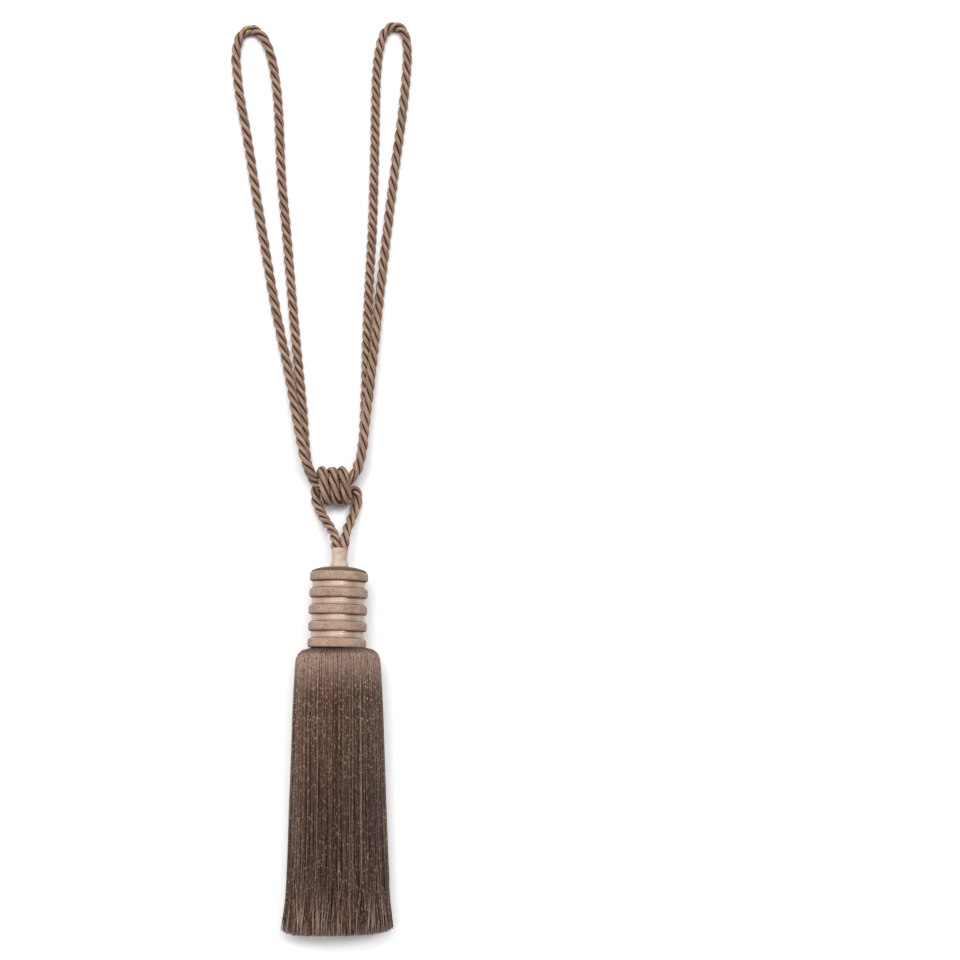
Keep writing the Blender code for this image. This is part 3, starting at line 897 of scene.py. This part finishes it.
class TiebackRopeSettings(PropertyGroup):
    """Sizes and colours of both ropes."""

    radius: length("Rope radius", "Half the rope's thickness over its strands", 3.6 * MM)
    lead: length("Lead", "Length in which a strand goes once round the rope", 25.4 * MM)
    per_strand: whole_number("Points per strand", "Points of the section on each strand", 12, 6, 24)
    # Lit filaments: partly a painted silky highlight.
    rope_light: colour("Yarn light", "Lit filaments", (0.405, 0.262, 0.196))
    # Darker filaments, and also the painted shade on each strand's flanks.
    rope_dark_and_shade: colour("Yarn shade", "Filaments between the lit ones", (0.155, 0.087, 0.058))
    rope_warm: colour("Yarn warm", "Beige drift along the yarn", (0.31, 0.222, 0.140))
    # Painted shade deep between two strands.
    rope_groove_shade: colour("Groove", "Yarn deep between two strands", (0.042, 0.012, 0.004))
    glue: colour("Glue", "Glue that has soaked into the join", (0.36, 0.22, 0.08))


class TiebackHeadSettings(PropertyGroup):
    """Sizes and colours of the neck, the head and its bands."""

    flange_radius: length("Flange radius", "Radius of the five flanges", 20.7 * MM)
    core_radius: length("Core radius", "Radius of the mould between the flanges", 17.0 * MM)
    flange_width: length("Flange width", "Width of each flange along the head", 6.9 * MM)
    band_radius: length("Band radius", "Radius over the satin bands", 18.8 * MM)
    crown_height: length("Crown height", "Height of the dome over the top flange", 4.0 * MM)
    neck_radius: length("Neck radius", "Radius of the wound sleeve", 5.4 * MM)
    cloth_light: colour("Cloth light", "Lighter fibres of the mould's cloth", (0.455, 0.315, 0.246))
    cloth_shade: colour("Cloth shade", "Darker fibres of the mould's cloth", (0.210, 0.131, 0.093))
    # Painted shadow on each flange's lower edge.
    cloth_rim_shadow: colour("Rim", "Cloth on the lower edge of each flange", (0.10, 0.052, 0.032))
    # Dark dome cloth, partly painted shade.
    cloth_crown_and_shade: colour("Crown", "Cloth on the dome", (0.082, 0.042, 0.024))
    satin_light: colour("Satin light", "Lighter threads of the ribbon", (0.43, 0.310, 0.236))
    satin_shade: colour("Satin shade", "Darker threads of the ribbon", (0.31, 0.210, 0.150))
    # Painted shade in streaks across the ribbon, for its sheen.
    satin_crease_shade: colour("Satin fold", "Faint cross creases in the ribbon", (0.215, 0.128, 0.088))
    # Painted shade at the ribbon's edges beside the flanges.
    satin_edge_shade: colour("Satin edge", "The ribbon's edges beside the flanges", (0.10, 0.050, 0.030))
    neck_light: colour("Neck light", "Wound thread", (0.52, 0.425, 0.335))
    neck_shade: colour("Neck shade", "Rosy places on the wound thread", (0.43, 0.32, 0.26))


class TiebackSkirtSettings(PropertyGroup):
    """Sizes and colours of the skirt."""

    thread_radius: length("Thread radius", "Half the thickness of a thread", 0.37 * MM)
    per_layer: whole_number("Threads per layer", "Threads round each of the outer layers", 205, 24, 400)
    # Bright threads, and the painted glints along them.
    thread_bright_and_glint: colour("Thread light", "Lit flecks", (0.58, 0.41, 0.32))
    thread_rosy: colour("Thread rosy", "Thread with a rosy cast", (0.142, 0.066, 0.045))
    thread_olive: colour("Thread olive", "Thread with an olive cast", (0.124, 0.074, 0.044))
    # A plum cast, and painted shade on the skirt's right side.
    thread_plum_and_shade: colour("Thread plum", "Thread with a plum cast, at the right", (0.074, 0.038, 0.036))
    # The darkest threads, and also the painted shade in the skirt.
    thread_dark_and_shade: colour("Thread shade", "The darkest threads", (0.0224, 0.0096, 0.0064))
    # Painted highlight over the shoulder.
    thread_shoulder_highlight: colour("Shoulder", "Thread over the shoulder", (0.340, 0.226, 0.176))
    thread_tip: colour("Cut ends", "Thread at its cut end", (0.50, 0.34, 0.27))


class TiebackStageSettings(PropertyGroup):
    """The floor and the lights."""

    floor: colour("Floor", "Plain pale floor", (0.93, 0.93, 0.93))
    key_strength: light_strength("Key light", "Strength of the soft light overhead", 2.25)
    key_width: light_width("Key width", "Angle that the key light fills", 45)
    side_strength: light_strength("Side light", "Strength of the soft light at the left", 1.1)
    side_width: light_width("Side width", "Angle that the side light fills", 60)
    strip_strength: light_strength("Strip light", "Strength of the narrow light at the right", 1.1)
    strip_width: light_width("Strip width", "Angle that the strip light fills", 12)
    fill_strength: light_strength("Fill", "Strength of the even light from all round", 0.18)


# --- Operators ------------------------------------------------------------------------------


class TiebackStage(Operator):
    """Make the floor, the lights and the camera"""

    bl_idname = "tieback.stage"
    bl_label = "Stage"

    def execute(self, context):
        settings = context.scene.tieback_stage
        self.make_floor(settings)
        self.make_lights(context, settings)
        self.make_camera(context)
        return {"FINISHED"}

    def make_floor(self, settings):
        """A flat square at the height on which the tieback lies."""
        side = FLOOR_HALF
        corners = [(-side, -side, 0.0), (side, -side, 0.0), (side, side, 0.0), (-side, side, 0.0)]
        mesh = bpy.data.meshes.new("floor")
        mesh.from_pydata(corners, [], [(0, 1, 2, 3)])
        paint = Finish("floor_paint", 0.9, 0.0, 0.1)
        grain = paint.noise(paint.place(), 40.0)
        mesh.materials.append(paint.finish(settings.floor, grain, 0.01 * MM, 0.1))
        floor = bpy.data.objects.new("floor", mesh)
        bpy.context.scene.collection.objects.link(floor)

    def make_lights(self, context, settings):
        """An even white surround, a soft light from high beyond the loops, a wide one at the left and
        a narrow one at the right. Each fills an angle of its own width.
        """
        world = bpy.data.worlds.new("surround")
        world.use_nodes = True
        surround = world.node_tree.nodes["Background"].inputs
        surround["Strength"].default_value = settings.fill_strength
        surround["Color"].default_value = (1.0, 1.0, 1.0, 1.0)
        context.scene.world = world
        context.scene.view_settings.view_transform = "Standard"
        for name, place in LIGHTS_FROM.items():
            light = bpy.data.lights.new(name, "SUN")
            light.energy = getattr(settings, f"{name}_strength")
            light.angle = getattr(settings, f"{name}_width")
            lamp = bpy.data.objects.new(name, light)
            lamp.location = Vector(place)
            lamp.rotation_euler = (-Vector(place)).to_track_quat("-Z", "Y").to_euler()
            context.scene.collection.objects.link(lamp)

    def make_camera(self, context):
        """A camera above the skirt that looks up along the tieback: its axes follow from where the
        point straight below it, and the direction of +Y there, lie in its frame.
        """
        lens = bpy.data.cameras.new("camera")
        lens.sensor_width = SENSOR_MM
        lens.lens = FOCAL_PIXELS * SENSOR_MM / FRAME_SIDE
        camera = bpy.data.objects.new("camera", lens)
        down = Vector((FOOT_RIGHT, FOOT_UP, -FOCAL_PIXELS)).normalized()
        lean = -FOOT_UP / (FOOT_RIGHT**2 + FOCAL_PIXELS**2)
        along = Vector((FOOT_RIGHT * lean, 1.0, -FOCAL_PIXELS * lean)).normalized()
        up = -down
        turn = Matrix((along.cross(up), along, up)).to_4x4()
        camera.matrix_world = Matrix.Translation((0.0, CAMERA_Y, CAMERA_HEIGHT)) @ turn
        context.scene.collection.objects.link(camera)
        context.scene.camera = camera


class TiebackLoopRope(Operator):
    """Make the closed loop rope with its glued join"""

    bl_idname = "tieback.loop_rope"
    bl_label = "Loop rope"

    def execute(self, context):
        settings = context.scene.tieback_rope
        line = smooth_line(np.array(LOOP_ROUTE) * MM, True, LOOP_SPAN_POINTS)
        whole = run_of(line)[-1]
        path = evenly_spaced(line, round(whole / settings.lead * STEPS_PER_LEAD))
        path[:, 2] = np.maximum(path[:, 2], settings.radius + REST_GAP)
        start = np.linalg.norm(path[:-1] - JOIN, axis=1).argmin()
        line = np.vstack([path[start:-1], path[: start + 1]])
        run = run_of(line)
        to_join = run[-1] - run
        beyond = np.maximum(np.abs(line[:, :2] - KNOT[:2]) - CORE_HALF, 0.0)
        thickness = CORE_SQUEEZE + (1 - CORE_SQUEEZE) * eased(np.linalg.norm(beyond, axis=1) / CORE_EASE)
        thickness = thickness * (1 - JOIN_THIN * (1 - eased(to_join / JOIN_EASE)))
        thickness = thickness * (1 + JOIN_STEP * (1 - eased(run / JOIN_EASE)))
        leg_ends = np.arange(1, len(LEG_SLACK)) / len(LEG_SLACK)
        changes = np.stack([leg_ends - LEG_CHANGE, leg_ends + LEG_CHANGE], axis=1).ravel()
        changes = np.concatenate([[0.0], changes, [1.0]])
        slack = np.interp(run / run[-1], changes, np.repeat(LEG_SLACK, 2))
        slack = slack + (JOIN_SLACK - slack) * eased(1 - to_join / JOIN_UNLAY)
        soaked = np.exp(-(((to_join - GLUE_BEFORE) / GLUE_HALF) ** 2))
        rope = rope_piece("loop_rope_yarn", "loop_rope", settings, line, thickness, slack, soaked)
        return {"FINISHED"}


class TiebackTasselCord(Operator):
    """Make the tassel's cord, wound three times round the loop rope"""

    bl_idname = "tieback.tassel_cord"
    bl_label = "Tassel cord"

    def execute(self, context):
        settings = context.scene.tieback_rope
        first = np.array(RISING_LEG) * MM
        last = np.array(FALLING_LEG) * MM
        line = smooth_line(np.vstack([first, wrap_line(), last]), False, CORD_SPAN_POINTS)
        whole = run_of(line)[-1]
        line = evenly_spaced(line, round(whole / settings.lead * STEPS_PER_LEAD * CORD_FINENESS))
        line[:, 2] = np.maximum(line[:, 2], settings.radius + REST_GAP)
        mouth = first[0, 1]
        off_knot = np.abs(line[:, :2] - KNOT[:2]).max(axis=1)
        in_knot = eased((WRAP_REACH - off_knot) / WRAP_EASE)
        thickness = NECK_SQUEEZE + (1 - NECK_SQUEEZE) * eased((line[:, 1] - mouth) / NECK_EASE)
        thickness = thickness * (1 + (WRAP_FULLNESS - 1) * in_knot)
        legs = np.where(np.linspace(0.0, 1.0, len(line)) > 0.5, FALLING_SLACK, RISING_SLACK)
        slack = legs + (WRAP_SLACK - legs) * in_knot
        sunk = [[0.0, NECK_SUNK, 0.0]]
        drawn = np.vstack([line[:1] - sunk, line, line[-1:] - sunk])
        thickness = np.pad(thickness, 1, mode="edge")
        slack = np.concatenate([legs[:1], slack, legs[-1:]])
        dry = np.zeros(len(drawn))
        cord = rope_piece("tassel_cord_yarn", "tassel_cord", settings, drawn, thickness, slack, dry)
        return {"FINISHED"}


class TiebackNeck(Operator):
    """Make the wound sleeve that holds both ends of the tassel's cord"""

    bl_idname = "tieback.neck"
    bl_label = "Neck"

    def execute(self, context):
        settings = context.scene.tieback_head
        top = (FLANGES - 1) * FLANGE_PITCH + settings.flange_width / 2 + settings.crown_height
        foot = top - NECK_SEAT
        height = np.linspace(0.0, NECK_LENGTH + NECK_LIP, NECK_RINGS)
        share = height / height[-1]
        radius = settings.neck_radius + NECK_FLARE * (1 - eased(share / 0.32))
        radius = radius + NECK_WAIST * np.sin(9 * share) - NECK_ROUND * rising(share, 0.955, 1.0) ** 2
        outline = np.stack([radius, foot + height], axis=1)
        mouth = outline[-1] - NECK_MOUTH
        outline = np.vstack([[POLE_R, foot], outline, mouth, [POLE_R, mouth[-1, 1]]])
        angle = angles(NECK_SIDES)
        rise = outline[:, 1, None]
        winding = np.abs(np.sin(pi * ((rise - foot) / WINDING_PITCH - angle / tau)))
        sway = WINDING_SWAY * np.sin(2 * angle + 500 * rise)
        outer = outline[:, :1] > 3 * MM
        points = turned_points(outline, NECK_SIDES, outer * (WINDING_DEPTH * winding + sway))
        around = angle_steps(NECK_SIDES) * NECK_GIRTH_MM
        neck = tube_piece("neck_sleeve", points, neck_finish(settings), outline[:, 1] / MM, around)
        dress(neck, "neck_thread", "neck")
        return {"FINISHED"}


class TiebackHead(Operator):
    """Make the cloth-covered mould with its five flanges and its crown"""

    bl_idname = "tieback.head"
    bl_label = "Head"

    def execute(self, context):
        settings = context.scene.tieback_head
        half = settings.flange_width / 2
        rows = [[(POLE_R, -half), (FOOT_SHARE * settings.core_radius, -half)]]
        for index in range(FLANGES):
            flange = flange_outline(settings.core_radius, settings.flange_radius, half)
            rows.append(flange + [0.0, index * FLANGE_PITCH])
        top = (FLANGES - 1) * FLANGE_PITCH + half
        climb = np.linspace(0.05, 1.0, 14) * pi / 2
        reach = CROWN_SHARE * settings.flange_radius * np.cos(climb)
        dome = np.stack([reach, top + settings.crown_height * np.sin(climb) ** CROWN_POWER], axis=1)
        rows.append(dome[:-1])
        rows.append([(POLE_R, top + settings.crown_height)])
        outline = np.vstack(rows)
        rise = outline[:, 1]
        angle = angles(HEAD_SIDES)
        lumps = LUMP * np.sin(3 * angle + 210 * rise[:, None])
        lumps = lumps + SMALL_LUMP * np.sin(7 * angle - 330 * rise[:, None])
        outer = rising(outline[:, :1], 4 * MM, 12 * MM)
        points = turned_points(outline, HEAD_SIDES, outer * lumps)
        flange = np.clip(np.round(rise / FLANGE_PITCH), 0, FLANGES - 1)
        lower = (flange * FLANGE_PITCH - rise) / half
        values = {
            # The dome darkens, partly as painted shade.
            "crown": rising(rise, top - 0.2 * MM, top + 0.6 * MM)[:, None],
            # Painted shadow on the lower part of each flange.
            "rim": rising(lower, 0.74, 0.96)[:, None],
        }
        around = angle_steps(HEAD_SIDES)
        head = tube_piece("mould", points, mould_finish(settings), rise / MM, around, values)
        dress(head, "mould_cloth", "head")
        return {"FINISHED"}


class TiebackBands(Operator):
    """Make the four satin ribbons in the head's grooves"""

    bl_idname = "tieback.bands"
    bl_label = "Satin bands"

    def execute(self, context):
        settings = context.scene.tieback_head
        finish = satin_finish(settings)
        half = (FLANGE_PITCH - settings.flange_width) / 2
        inside = settings.core_radius - BAND_SUNK
        angle = angles(BAND_SIDES)
        around = angle_steps(BAND_SIDES)
        t = np.linspace(-1.0, 1.0, 25)
        across = np.concatenate([(t + 1) / 2, [1.0, 0.0, 0.0]])
        for number in range(1, FLANGES):
            reach = settings.band_radius - BAND_CROWN * t**2 + BAND_RIPPLE * np.cos(5 * pi * t + number)
            outline = np.vstack([np.stack([reach, half * t], axis=1), [(inside, half), (inside, -half)]])
            outline[:, 1] += (FLANGES - number - 0.5) * FLANGE_PITCH
            outer = outline[:, :1] > settings.core_radius
            points = turned_points(outline, BAND_SIDES, outer * BAND_SWAY * np.sin(2 * angle + number))
            name = f"satin_band_{number}"
            band = tube_piece(name, points, finish, across, around, wrap_rings=True, crease=BAND_CREASE)
            dress(band, "satin_band", f"band_{number}")
        return {"FINISHED"}


class TiebackSkirt(Operator):
    """Make the skirt's threads, layer by layer, from the tie under the head to their cut ends"""

    bl_idname = "tieback.skirt"
    bl_label = "Skirt"

    def execute(self, context):
        settings = context.scene.tieback_skirt
        finish = thread_finish(settings)
        table = skirt_table()
        rng = np.random.default_rng(SKIRT_SEED)
        under = settings.thread_radius
        around = settings.per_layer
        outer = [self.layer(rng, around, under + LAYER_STEP * index) for index in range(OUTER_LAYERS)]
        middle = [
            self.layer(rng, around - MIDDLE_FEWER * index, under + LAYER_STEP * index)
            for index in range(OUTER_LAYERS, OUTER_LAYERS + MIDDLE_LAYERS)
        ]
        under = under + LAYER_STEP * (OUTER_LAYERS + MIDDLE_LAYERS)
        core = [
            self.layer(rng, CORE_THREADS - CORE_FEWER * index, under + LAYER_STEP * CORE_STEP * index)
            for index in range(CORE_LAYERS)
        ]
        for name, layers in (("skirt_outer", outer), ("skirt_middle", middle), ("skirt_core", core)):
            self.make(rng, settings, table, finish, name, layers)
        strays = [self.layer(rng, STRAY_COUNT, 0.0)]
        self.make(rng, settings, table, finish, "skirt_strays", strays, STRAY_LEAN)
        return {"FINISHED"}

    def layer(self, rng, count, depth):
        """One layer of threads: its places round the skirt and its depth."""
        around = (np.arange(count) + rng.uniform(-0.45, 0.45, count) + rng.uniform()) / count
        return around, np.full(count, depth)

    def make(self, rng, settings, table, finish, name, layers, lean=TIP_LEAN):
        """Threads that all start at the tie, bend over the shoulder, sway, and clump and spread
        towards their cut ends: the place round the skirt and the depth are sums of slow sines that
        grow with the fall, and the spread grows with its last part.
        """
        rings, sides = FINENESS[name]
        around = np.concatenate([layer[0] for layer in layers])[:, None]
        depth = np.concatenate([layer[1] for layer in layers])[:, None]
        loose = depth < OUTER_DEPTH
        threads = around.shape
        fall = self.stations(rings)
        foot, reach = on_skirt(np.array([[0.0]]), around, depth, table)
        end = self.ends(rng, foot[..., 0])
        y, inward = shoulder(fall, depth, reach, end)
        grown = {what: rising(fall, *span) for what, span in FALLS.items()}
        group = (around * GROUPS).astype(int) % GROUPS
        sway = sum(
            shared * np.sin(tau * (waves * fall + rng.uniform(0, 1, GROUPS)[group]))
            + own * np.sin(tau * (waves * fall + rng.uniform(0, 1, threads)))
            for shared, own, waves in SWAYS
        )
        tone = self.tones(rng, group, depth)
        sunk = SUNK * rng.uniform(0.0, 1.0, threads) ** 2 * loose * grown["sway"]
        clump = np.round(around * CLUMPS + 0.35 * rng.standard_normal(threads)) / CLUMPS
        gather = np.where(loose, 0.65, 0.25) * grown["clump"]
        spread = rng.standard_normal(threads) * lean * grown["spread"]
        around = around + (clump - around) * gather + (sway * grown["sway"] + spread) / SKIRT_TURN
        lift = LIFT * np.sin(tau * (2.1 * fall + rng.uniform(0, 1, threads))) * grown["sway"]
        stands = rng.uniform(0.0, 1.0, threads) ** 2 * lean * grown["stand"]
        deep = depth + inward + sunk + (lift - 0.7 * stands) * loose
        lines, _ = on_skirt(y, around, np.maximum(deep, -lean), table)
        lines[..., 2] = np.maximum(lines[..., 2], settings.thread_radius + REST_GAP)
        radius = settings.thread_radius * (1 + THICKNESS_SPREAD * rng.standard_normal(threads))
        radius = radius * (1 - TIP_TAPER * grown["taper"])
        points = thread_tubes(lines, radius, sides)
        pale = rng.uniform(0.0, 1.0, threads) ** 1.5 * grown["pale"]
        bleached = (rng.uniform(0.0, 1.0, threads) < BLEACHED_SHARE) * 0.70 * grown["bleached"]
        # Painted light: the core's threads are lightened at the cut end, which lifts their painted depth
        # shade there.
        inside = 0.5 * (depth > OUTER_DEPTH) * grown["inside"]
        tip = np.maximum(np.maximum(pale, bleached), inside)
        values = {"tone": tone[..., None], "tip": tip[..., None]}
        run = (SHOULDER_Y - lines[..., 1]) / MM
        piece = tube_piece(name, points, finish, run, angle_steps(sides), values)
        dress(piece, "skirt_yarn", "skirt")

    def tones(self, rng, group, depth):
        """How bright each thread is: partly its group's tone, where every second group is darker, partly its
        own, and less the deeper it lies, which is painted shade inside the skirt.
        """
        shared = rng.uniform(0.45, 1.0, GROUPS)
        shared[::2] -= rng.uniform(0.25, 0.85, GROUPS // 2)
        tone = 0.55 * shared[group] + 0.45 * rng.uniform(0.0, 1.0, group.shape)
        return tone - 0.50 * eased(depth / OUTER_DEPTH)

    def ends(self, rng, x):
        """Where each thread is cut: uneven, and a little short towards both sides."""
        right = sum(size * rising(x, start, full) for size, start, full in CUT_RIGHT)
        left = sum(size * rising(-x, start, full) for size, start, full in CUT_LEFT)
        uneven = rng.uniform(0.0, 1.0, x.shape) ** 2 * CUT_UNEVEN - CUT_LONG
        return SKIRT_END + right + left + uneven

    def stations(self, rings):
        """Shares of the fall: close over the shoulder and towards the cut end."""
        bends = max(3, rings // 3)
        tips = max(2, rings // 4)
        over = np.linspace(0.0, SHOULDER_FALL, bends, endpoint=False)
        down = np.linspace(SHOULDER_FALL, TIP_STATIONS, rings - bends - tips, endpoint=False)
        end = 1 - (1 - TIP_STATIONS) * np.linspace(1.0, 0.0, tips) ** 1.3
        return np.concatenate([over, down, end])


PIECES = [
    TiebackStage,
    TiebackLoopRope,
    TiebackTasselCord,
    TiebackNeck,
    TiebackHead,
    TiebackBands,
    TiebackSkirt,
]


class TiebackPanel(Panel):
    """Lists the tieback's pieces and its settings"""

    bl_label = "Tieback"
    bl_idname = "VIEW3D_PT_tieback"
    bl_space_type = "VIEW_3D"
    bl_region_type = "UI"
    bl_category = "Tieback"

    def draw(self, context):
        scene = context.scene
        for piece in PIECES:
            self.layout.operator(piece.bl_idname)
        for settings in (scene.tieback_rope, scene.tieback_head, scene.tieback_skirt, scene.tieback_stage):
            box = self.layout.box()
            for name in settings.bl_rna.properties.keys():
                if name not in ("rna_type", "name"):
                    box.prop(settings, name)


SETTINGS = {
    "tieback_rope": TiebackRopeSettings,
    "tieback_head": TiebackHeadSettings,
    "tieback_skirt": TiebackSkirtSettings,
    "tieback_stage": TiebackStageSettings,
}


def register():
    """Registers the settings, the operators and the panel."""
    for name, settings in SETTINGS.items():
        bpy.utils.register_class(settings)
        setattr(bpy.types.Scene, name, PointerProperty(type=settings))
    for piece in (*PIECES, TiebackPanel):
        bpy.utils.register_class(piece)


def unregister():
    """Takes back what register did."""
    for piece in (TiebackPanel, *reversed(PIECES)):
        bpy.utils.unregister_class(piece)
    for name, settings in SETTINGS.items():
        delattr(bpy.types.Scene, name)
        bpy.utils.unregister_class(settings)


def main():
    """Registers the settings, the operators and the panel, and makes every piece in order."""
    register()
    for piece in PIECES:
        group, name = piece.bl_idname.split(".")
        getattr(getattr(bpy.ops, group), name)()


if __name__ == "__main__":
    main()
